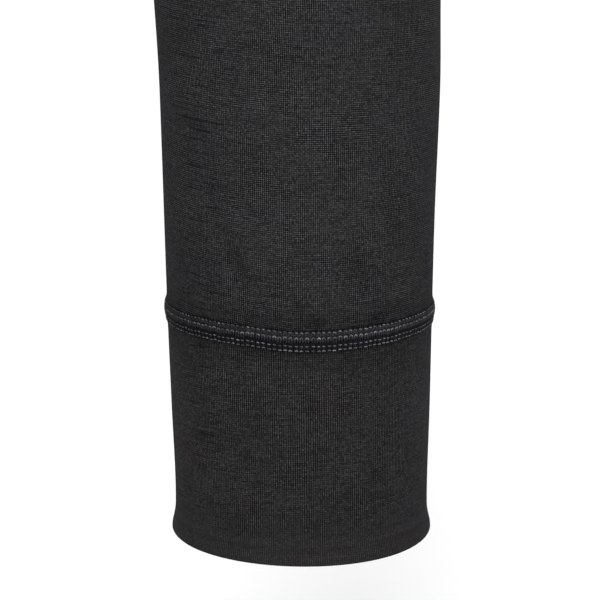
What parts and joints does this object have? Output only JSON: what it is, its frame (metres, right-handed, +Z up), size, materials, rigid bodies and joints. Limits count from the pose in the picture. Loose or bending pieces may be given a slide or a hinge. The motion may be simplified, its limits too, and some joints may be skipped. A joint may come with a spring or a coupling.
{
  "type": "base layer pants",
  "caption": "Snug base layer pants in fine knit, filled out as if worn: one wrapped panel for each leg, tall doubled ankle cuffs and an elastic waistband.",
  "frame": {"origin": "centre of the waistband's ring, halfway up it, where the wearer holds the pants up", "axes": "+Z up along the wearer, -Y to the front, +X to the wearer's left"},
  "size_m": [0.3604, 0.2327, 0.96],
  "materials": {
    "leg_knit": "fine charcoal knit, matte",
    "cuff_knit": "fine charcoal rib knit, matte",
    "elastic": "soft brushed elastic, matte",
    "thread": "fine dark sewing thread, slight sheen"
  },
  "bodies": {
    "root": {"leg_left": "leg_knit", "leg_right": "leg_knit", "cuff_left": "cuff_knit", "cuff_right": "cuff_knit", "waistband": "elastic"}
  },
  "joints": []
}
